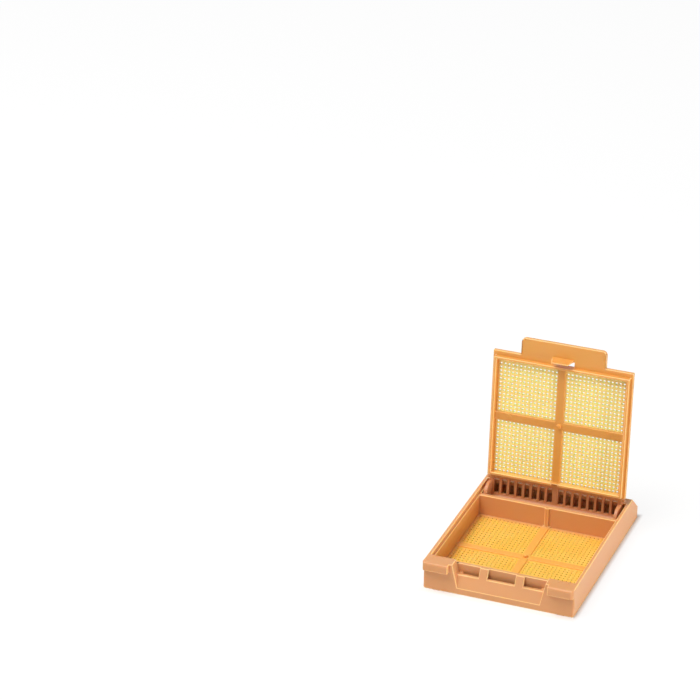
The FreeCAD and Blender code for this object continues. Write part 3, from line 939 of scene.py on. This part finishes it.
    def add_planes(self, solid: Lattice) -> None:
        """Adds the planes that the writing face needs: at its arc, and where the roof starts to slope.

        Args:
            solid: the lattice that they are added to.
        """
        angle = math.radians(self.face_angle)
        turns = np.linspace(angle, math.pi / 2, ARC_STEPS + 1)
        drop = self.face_wall / math.cos(angle) - self.strip_thickness
        solid.extra[Axis.Y].extend((self.length - self.face_round * (1 - np.sin(turns))).tolist())
        solid.extra[Axis.Y].extend([self.face_start - drop / math.tan(angle), self.face_start])

    def strip_slots(self) -> np.ndarray:
        """Spaces the slots in the strip evenly, with slot_bridge between them and slot_margin at the ends.

        Returns:
            Their intervals across the cassette, one row each.
        """
        start = self.slot_margin - self.inner
        length = (-2 * start - (self.slot_count - 1) * self.slot_bridge) / self.slot_count
        first = start + np.arange(self.slot_count) * (length + self.slot_bridge)
        return np.stack([first, first + length], axis=1)

    def add_floor(self, solid: Lattice) -> None:
        """Adds the perforated floor with its low cross.

        Args:
            solid: the lattice that it is added to.
        """
        x, y = (-self.cell, self.cell), (self.near_wall[1], self.far_wall[0])
        half, rib_z = self.floor_rib_half, (0.0, self.floor_rib_top)
        solid.add(x, y, (0.0, self.floor))
        solid.add((-half, half), y, rib_z)
        solid.add(x, (self.middle_y - half, self.middle_y + half), rib_z)
        self.mesh.pierce(solid, self.middle_y, (0.0, self.floor), (0.0, self.floor_pocket))

    def recess_half(self, z: float) -> float:
        """Half the width of the latch recess at a height: its sides lean in towards the bottom."""
        return self.recess - self.recess_lean * (1 - z / self.height)

    def recess_prism(self, widening: float, y: Span, z: Span) -> Surface:
        """The latch recess, wider on each side by the given amount."""
        low, high = (self.recess_half(level) + widening for level in z)
        return prism([(z[0], -low), (z[0], low), (z[1], high), (z[1], -high)], Axis.Y, *y)

    def cheeks(self) -> Moulding:
        """Builds the leaning walls at the sides of the latch recess, still filled between them.

        Returns:
            The walls, cut down to the ledge behind the ears.
        """
        over_ledge = block((-self.inner, self.inner), (self.ear_length, self.near_wall[0] + BEYOND),
                           (self.ledge, self.height + BEYOND))
        walls = self.recess_prism(self.cheek, (self.front, self.near_wall[0]), (0.0, self.height))
        return Moulding("cheeks", walls).cut(over_ledge)

    def ramp(self) -> Moulding:
        """Builds the leaning plate of the latch with its three windows, and the upright strip at its foot.

        A narrow slit stays open between the plate and the near wall, filled only at its two ends.

        Returns:
            Plate and strip.
        """
        (foot_y, foot_z), (top_y, top_z) = self.ramp_foot, self.ramp_top
        rise = top_z - foot_z
        depth = self.ramp_wall * math.hypot(rise, top_y - foot_y) / rise
        root_y, root_z = foot_y - self.ramp_root * (top_y - foot_y) / rise, foot_z - self.ramp_root
        edge = self.recess + self.cheek
        plate = Moulding("ramp", prism([(root_y, root_z), (root_y + depth, root_z), (top_y + depth, top_z),
                                        (top_y, top_z)], Axis.X, -edge, edge))
        plate.join(block((-edge, edge), (self.front, foot_y + depth), (0.0, foot_z)))
        into_wall = (self.near_wall[0] + self.near_wall[1]) / 2
        corner = [(foot_y, foot_z), (into_wall, foot_z), (into_wall, top_z), (top_y, top_z)]
        slit_end = self.recess_half(self.sill) - self.slit_corner
        for side in (-1, 1):
            plate.join(prism(corner, Axis.X, side * slit_end, side * edge))
        plate.keep(self.recess_prism(self.cheek / 2, (0.0, self.near_wall[1]), (0.0, self.height)))
        for x in ((-self.middle_window, self.middle_window), *mirrored(self.side_window, edge)):
            plate.cut(block(x, (-BEYOND, self.near_wall[0]), (self.sill, self.height)))
        return plate

    def build(self, origin_y: float) -> bpy.types.Object:
        """Makes the piece.

        Args:
            origin_y: the latch end's Y in the frame, in metres.

        Returns:
            The object.
        """
        h, over = self.hinge, self.height + BEYOND
        made = Moulding("base_moulding", self.body()).join(self.cheeks())
        made.cut(self.recess_prism(0, (-BEYOND, self.near_wall[0]), (-BEYOND, over)))
        made.join(self.ramp(), self.nub.surface(self.middle_y, self.floor / 2, self.floor_rib_top))
        for side in (-1, 1):
            edge, away = side * self.half_width, (side, -1)
            ear = (side * (self.ear_inside - self.ear_reach), edge + side * BEYOND)
            made.cut(rounder(self.corner_radius, (edge, self.length), (side, 1), Axis.Z, (-BEYOND, over)),
                     rounder(self.front_corner, (edge, self.front), away, Axis.Z, (-BEYOND, self.ear_bottom)),
                     rounder(self.ear_corner, (edge, 0.0), away, Axis.Z, (self.ear_bottom, over)),
                     rounder(self.ear_edge, (0.0, self.height), (-1, 1), Axis.X, ear))
            made.cut(bar(h.pin_radius + h.pin_clearance, h.y, h.z, (side * h.arm_inside, side * h.hole_end)))
            made.cut(turned(np.array([(self.mark_radius, 0.0), (self.mark_radius, BEYOND)]),
                            (side * self.mark[0], self.mark[1], self.mark[2])))
        return made.finish(origin_y, lambda points: points, self.softness, self.spare)

    def thin_field(self, origin_y: float) -> ThinField:
        """The perforated floor, for its painted glow; no part of the base gets painted shade at a far end."""
        centre, holes = (0, self.middle_y * MM + origin_y, 0), (self.floor_pocket, self.floor)
        return self.mesh.thin_field(centre, 0.0, holes, self.floor_rib_half, self.length)


@dataclass
class Lid:
    """The lid, drawn closed and swung open about its hinge. Millimetres, Y from the latch end."""

    hinge: Hinge
    top: float = 5.8
    under: float = 5.0
    half_width: float = 13.5
    front: float = 3.5
    pocket: float = 0.3                           # depth of the pockets over the holes
    tab_half: float = 8.2
    tab_end: float = 0.15
    tab_corner: float = 0.9
    window_half: float = 2.15
    window: Span = (3.4, 4.4)
    ridge_half: float = 13.05                     # raised frame on the underside
    ridge: Span = (4.4, 28.4125)
    ridge_wall: float = 0.5
    ridge_height: float = 1.0
    notch_half: float = 0.6
    notch_front: float = 28.1125
    rib_half: float = 0.75
    rib_height: float = 0.25
    middle_y: float = 16.40625
    mark_x: float = 9.7                           # low round marks on the cross rib
    mark_radius: float = 0.45
    mark_height: float = 0.08
    hook_half: Span = (2.05, 1.55)                # at its root and at its tip
    hook_front: Span = (2.853, 3.1)
    hook_back: float = 3.3
    hook_tip: float = 2.77
    tail_start: float = 28.85
    tail_half: float = 13.05
    tail_bend: float = 32.5
    tail_radius: float = 1.4
    tail_drop: float = 0.25
    tail_slot_front: float = 29.45
    tail_slots: int = 8
    tail_bar: float = 0.47
    tail_middle: float = 1.17
    tail_margin: float = 0.95
    stub_radius: float = 0.25
    stub_y: float = 29.3
    stub_root: float = 12.55                      # where the stub starts inside the tail
    bend_run: float = 1.6                         # length of panel that the curl takes up
    bend_steps: int = 8
    arm_steps: int = 64
    stub_steps: int = 16
    pin_root: float = 0.2                         # how deep the pin starts inside the arm
    nub: Nub = field(default_factory=Nub)
    mesh: HoleMesh = field(default_factory=lambda: HoleMesh((15, 14), (1.152, 1.25), 0.45))

    def curl(self, points: np.ndarray) -> np.ndarray:
        """Curls the tail's end down: an even run along Y becomes a quarter turn, then a straight drop.

        Args:
            points: points of the straight panel, which are changed.

        Returns:
            The same points in their place.
        """
        run = points[:, 1] - self.tail_bend
        end = run > 0
        angle = np.clip(run[end] / self.bend_run, 0, 1) * math.pi / 2
        radius = self.tail_radius - (self.top - points[end, 2])
        drop = np.maximum(run[end] - self.bend_run, 0)
        points[end, 1] = self.tail_bend + radius * np.sin(angle)
        points[end, 2] = self.top - self.tail_radius + radius * np.cos(angle) - drop
        return points

    def softness(self, middle: np.ndarray, convex: np.ndarray) -> np.ndarray:
        """Radius of each edge: small on outer edges, finer on slots, hook and pins, none on the holes.

        Args:
            middle: midpoints of the edges.
            convex: whether the faces turn outwards there.

        Returns:
            One radius for each edge.
        """
        x, y, z = np.abs(middle[:, 0]), middle[:, 1], middle[:, 2]
        radius = np.where(convex, SOFT_RIM, 0.0)
        fine = (y > self.tail_slot_front - TOUCH) & (y < self.tail_bend + TOUCH)
        fine &= x < self.tail_half - TOUCH
        fine |= (y < self.ridge[0] - TOUCH) & (z < self.under - TOUCH)
        fine |= x > self.tail_half + TOUCH
        radius[fine & convex] = SOFT_RIM / 2
        radius[self.mesh.covers(middle, self.middle_y) & (z > self.under - TOUCH)] = 0
        marks = np.hypot(x - self.mark_x, y - self.middle_y) < self.mark_radius + TOUCH
        radius[marks & convex] = self.mark_height / 2
        return radius

    def spare(self, points: np.ndarray) -> np.ndarray:
        """Where softened edges need room: inside the raised frame, and beside the pockets and the slots.

        Args:
            points: points of the moulding, or midpoints of its edges.

        Returns:
            Whether each may go.
        """
        x, y, z = points.T
        inner = [self.ridge[0] + self.ridge_wall, self.ridge[1] - self.ridge_wall]
        on_frame = beside(y, inner) & (z < self.under - self.rib_height - TOUCH)
        across, along = self.mesh.pockets()
        by_pocket = beside(x, across.ravel()) | beside(y, along.ravel() + self.middle_y)
        by_slot = beside(x, self.slots().ravel()) & (y > self.tail_start + TOUCH)
        return on_frame | by_slot | (by_pocket & (z > self.top - TOUCH))

    def panel(self) -> Surface:
        """Builds the tab, the perforated panel, its raised frame and ribs, and the slotted tail.

        Returns:
            The closed surface.
        """
        solid = Lattice()
        plate = (self.under, self.top)
        solid.add((-self.half_width, self.half_width), (self.front, self.tail_start), plate)
        solid.add((-self.tab_half, self.tab_half), (self.tab_end, self.front), plate)
        tail_end = self.tail_bend + self.bend_run + self.tail_drop
        solid.add((-self.tail_half, self.tail_half), (self.tail_start, tail_end), plate)
        ridge_z, ridge_x = (self.under - self.ridge_height, self.under), (-self.ridge_half, self.ridge_half)
        wall = self.ridge_wall
        inside = (self.ridge[0] + wall, self.ridge[1] - wall)
        solid.add(ridge_x, self.ridge, ridge_z)
        solid.cut((wall - self.ridge_half, self.ridge_half - wall), inside, ridge_z)
        solid.cut((-self.notch_half, self.notch_half), (self.notch_front, self.ridge[1]), ridge_z)
        rib_z = (self.under - self.rib_height, self.under)
        solid.add((-self.rib_half, self.rib_half), (self.ridge[0], inside[1]), rib_z)
        solid.add(ridge_x, (self.middle_y - self.rib_half, self.middle_y + self.rib_half), rib_z)
        self.mesh.pierce(solid, self.middle_y, plate, (self.top - self.pocket, self.top))
        solid.cut(self.slots(), (self.tail_slot_front, self.tail_bend), plate)
        solid.cut((-self.window_half, self.window_half), self.window, plate)
        bends = self.tail_bend + np.linspace(0, self.bend_run, self.bend_steps + 1)
        solid.extra[Axis.Y].extend(bends.tolist())
        return solid.surface(self.curl)

    def slots(self) -> np.ndarray:
        """Spaces the slots evenly on both sides of the tail's middle bar.

        Returns:
            Their intervals across the tail, one row each.
        """
        start = self.tail_middle / 2
        bars = (self.tail_slots - 1) * self.tail_bar
        width = (self.tail_half - self.tail_margin - start - bars) / self.tail_slots
        near = start + np.arange(self.tail_slots) * (width + self.tail_bar)
        far = near + width
        return np.concatenate([np.stack([near, far], axis=1), np.stack([-far, -near], axis=1)])

    def hook(self) -> Surface:
        """Builds the wedge under the tab: a prism, drawn in evenly to both sides from its root to its tip.

        Returns:
            The closed surface.
        """
        into = self.under + self.pocket
        made = prism([(self.hook_front[0], into), (self.hook_back, into), (self.hook_back, self.hook_tip),
                      (self.hook_front[1], self.hook_tip), (self.hook_front[0], self.under)], Axis.X, -1, 1)
        share = np.clip((self.under - made.points[:, 2]) / (self.under - self.hook_tip), 0, 1)
        made.points[:, 0] *= self.hook_half[0] + (self.hook_half[1] - self.hook_half[0]) * share
        return made

    def arm(self, side: int) -> Moulding:
        """Builds the rounded arm at one side with its pin.

        Args:
            side: -1 or 1, the side of the lid.

        Returns:
            Arm and pin.
        """
        h, reach = self.hinge, self.hinge.arm_radius + BEYOND
        disc = bar(h.arm_radius, h.y, h.z, (side * h.arm_inside, side * self.tail_half), self.arm_steps)
        kept = block((-self.half_width, self.half_width), (h.y - reach, h.y + h.arm_back),
                     (h.z - reach, self.under + self.pocket))
        pin = bar(h.pin_radius, h.y, h.z, (side * (h.arm_inside + self.pin_root), side * h.pin_end))
        return Moulding("arm", disc).keep(kept).join(pin)

    def build(self, origin_y: float) -> bpy.types.Object:
        """Makes the piece.

        Args:
            origin_y: the latch end's Y in the frame, in metres.

        Returns:
            The object.
        """
        rib, root = self.under - self.rib_height, self.under + self.pocket
        made = Moulding("lid_moulding", self.panel()).join(self.hook())
        made.join(self.nub.surface(self.middle_y, root, rib))
        for side in (-1, 1):
            made.join(turned(np.array([(self.mark_radius, rib - self.mark_height), (self.mark_radius, root)]),
                             (side * self.mark_x, self.middle_y, 0)))
            made.join(bar(self.stub_radius, self.stub_y, self.under + self.stub_radius,
                          (side * self.stub_root, side * self.half_width), self.stub_steps))
            made.join(self.arm(side))
            made.cut(rounder(self.tab_corner, (side * self.tab_half, self.tab_end), (side, -1), Axis.Z,
                             (self.under - BEYOND, self.top + BEYOND)))
        return made.finish(origin_y, self.hinge.swing, self.softness, self.spare)

    def thin_field(self, origin_y: float) -> ThinField:
        """Describes the perforated panel, for its painted glow; the tail behind the frame gets painted shade.

        Args:
            origin_y: the latch end's Y in the frame, in metres.

        Returns:
            The thin field of the open lid.
        """
        x, y, z = self.hinge.swing(np.array([[0, self.middle_y, self.under]]))[0] * MM
        holes = (0, self.top - self.pocket - self.under)
        return self.mesh.thin_field((x, y + origin_y, z), -self.hinge.open_angle, holes, self.rib_half,
                                    self.ridge[1] - self.middle_y)


# ---- Studio ----------------------------------------------------------------------------------------
class Lamp(Enum):
    """A soft lamp: azimuth and elevation in degrees from the object, size in metres, and share of the key."""

    OVERHEAD = (-40.0, 66.0, 0.35, 1.0)
    SIDE = (80.0, 3.0, 0.06, 0.6)


def towards(azimuth: float, elevation: float) -> np.ndarray:
    """Unit direction from the object: azimuth from -Y towards +X, and elevation, both in degrees."""
    a, e = math.radians(azimuth), math.radians(elevation)
    return np.array([math.sin(a) * math.cos(e), -math.cos(a) * math.cos(e), math.sin(e)])


@dataclass
class Studio:
    """Pale floor, soft light and the camera. Metres and degrees."""

    azimuth: float = 21.40
    elevation: float = 26.357
    roll: float = 0.302
    place: Point = (0.147671, -0.469430, 0.284638)
    lens: float = 157.83                          # millimetres, as is the sensor's width
    sensor: float = 36.0
    clip: Span = (0.01, 50.0)
    world: float = 0.36                           # strength of the light from all round
    key: float = 0.66                             # overhead lamp's power over a sphere at its distance, W/m2
    lamp_distance: float = 0.6
    white: float = 1.05                           # what the camera sees of floor and surroundings
    floor_half: float = 3.0
    floor_grey: float = 0.9
    floor_lift: float = 0.8                       # share of the floor's shadow that is lifted to white
    lift_fade: float = 0.9 * MM

    def camera(self) -> None:
        """Puts the camera at its place, with no tilt of the lens and no blur."""
        data = bpy.data.cameras.new("Camera")
        data.lens, data.sensor_width = self.lens, self.sensor
        data.clip_start, data.clip_end = self.clip
        a, r = math.radians(self.azimuth), math.radians(self.roll)
        back = towards(self.azimuth, self.elevation)
        right = np.array([math.cos(a), math.sin(a), 0.0])
        up = np.cross(back, right)
        rolled_right = math.cos(r) * right + math.sin(r) * up
        rolled_up = -math.sin(r) * right + math.cos(r) * up
        matrix = Matrix(np.column_stack([rolled_right, rolled_up, back]).tolist()).to_4x4()
        matrix.translation = self.place
        camera = bpy.data.objects.new("Camera", data)
        camera.matrix_world = matrix
        bpy.context.scene.collection.objects.link(camera)
        bpy.context.scene.camera = camera

    @staticmethod
    def background_rays(nodes: NodeMaker) -> bpy.types.NodeSocket:
        """Picks the rays that see the white background: camera, glossy and transmission rays.

        Args:
            nodes: the nodes of the floor or of the world.

        Returns:
            1 for such a ray, and 0 for the light that falls on the object.
        """
        path = nodes.add("LightPath")
        direct = nodes.add("Math", {0: path.outputs["Is Camera Ray"], 1: path.outputs["Is Glossy Ray"]},
                           operation="MAXIMUM")
        return nodes.add("Math", {0: direct.outputs[0], 1: path.outputs["Is Transmission Ray"]},
                         operation="MAXIMUM").outputs[0]

    def floor(self) -> None:
        """Lays a wide pale floor that keeps the object's shadow.

        White board: dull, with no highlight. It is lifted towards white for the camera, but not under the
        base, so that the base keeps a dark line where it touches.
        """
        half, grey = self.floor_half, self.floor_grey
        mesh = bpy.data.meshes.new("studio_floor")
        mesh.from_pydata([(-half, -half, 0), (half, -half, 0), (half, half, 0), (-half, half, 0)], [],
                         [(0, 1, 2, 3)])
        made = bpy.data.materials.new("Studio floor, white board")
        made.use_nodes = True
        nodes = NodeMaker(made.node_tree)
        paint = nodes.add("BsdfDiffuse", {"Color": (grey, grey, grey, 1)})
        glow = nodes.add("Emission", {"Color": (1, 1, 1, 1), "Strength": self.white})
        lift = nodes.add("Math", {0: self.background_rays(nodes), 1: self.floor_lift}, operation="MULTIPLY")
        parts = nodes.add("SeparateXYZ", {0: nodes.add("TexCoord").outputs["Object"]})
        clear = []
        for axis in (Axis.X, Axis.Y):
            edge = CAD_BOUNDS[1][axis]
            away = nodes.add("Math", {0: parts.outputs[axis]}, operation="ABSOLUTE")
            clear.append(nodes.add("MapRange", {"Value": away.outputs[0], "From Min": edge,
                                                "From Max": edge + self.lift_fade}))
        outside = nodes.add("Math", {0: clear[0].outputs[0], 1: clear[1].outputs[0]}, operation="MAXIMUM")
        share = nodes.add("Math", {0: lift.outputs[0], 1: outside.outputs[0]}, operation="MULTIPLY")
        mix = nodes.add("MixShader", {0: share.outputs[0], 1: paint.outputs[0], 2: glow.outputs[0]})
        nodes.add("OutputMaterial", {"Surface": mix.outputs[0]})
        mesh.materials.append(made)
        floor = bpy.data.objects.new("studio_floor", mesh)
        bpy.context.scene.collection.objects.link(floor)

    def light(self) -> None:
        """Adds the white surroundings and the soft lamps."""
        world = bpy.data.worlds.new("Studio")
        bpy.context.scene.world = world
        world.use_nodes = True
        nodes = NodeMaker(world.node_tree)
        seen = self.background_rays(nodes)
        around = nodes.add("Background", {"Color": (1, 1, 1, 1), "Strength": self.world})
        white = nodes.add("Background", {"Color": (1, 1, 1, 1), "Strength": self.white})
        mix = nodes.add("MixShader", {0: seen, 1: around.outputs[0], 2: white.outputs[0]})
        nodes.add("OutputWorld", {"Surface": mix.outputs[0]})
        for which in Lamp:
            self.lamp(which)

    def lamp(self, which: Lamp) -> None:
        """Adds one square lamp that faces the object.

        Args:
            which: where it stands, how large it is, and its share of the key strength.
        """
        azimuth, elevation, size, share = which.value
        data = bpy.data.lights.new(which.name.title(), "AREA")
        data.shape, data.size = "SQUARE", size
        data.energy = self.key * share * 4 * math.pi * self.lamp_distance ** 2
        lamp = bpy.data.objects.new(which.name.title(), data)
        lamp.location = towards(azimuth, elevation) * self.lamp_distance
        lamp.rotation_mode = "QUATERNION"
        lamp.rotation_quaternion = lamp.location.to_track_quat("Z", "Y")
        bpy.context.scene.collection.objects.link(lamp)


def dress(piece: bpy.types.Object, body: str, node: str,
          finishes: list[bpy.types.Material]) -> None:
    """Gives a piece its finish and its body, and hides the solid that it stands for.

    Args:
        piece: the piece.
        body: the body it moves with.
        node: the solid it stands for, which is hidden.
        finishes: the plastic of the faces, and that of the softened edges.
    """
    piece.data.materials.clear()
    for finish in finishes:
        piece.data.materials.append(finish)
    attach(piece, body)
    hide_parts(node)
    LOG.info("%s: %d faces on %s", piece.name, len(piece.data.polygons), body)


def main() -> None:
    logging.basicConfig(level=logging.INFO, format="%(name)s: %(message)s")
    bpy.context.scene.view_settings.view_transform = "Standard"
    studio = Studio()
    studio.camera()
    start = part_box("cassette_base")[0][1]
    hinge = Hinge()
    for shape, body, plastic in ((Base(hinge), "base", BASE_ACETAL), (Lid(hinge), "lid", LID_ACETAL)):
        thin = shape.thin_field(start)
        dress(shape.build(start), body, f"cassette_{body}",
              [plastic.material(thin), plastic.rim_highlight().material(thin)])
    studio.floor()
    studio.light()


if __name__ == "__main__":
    main()
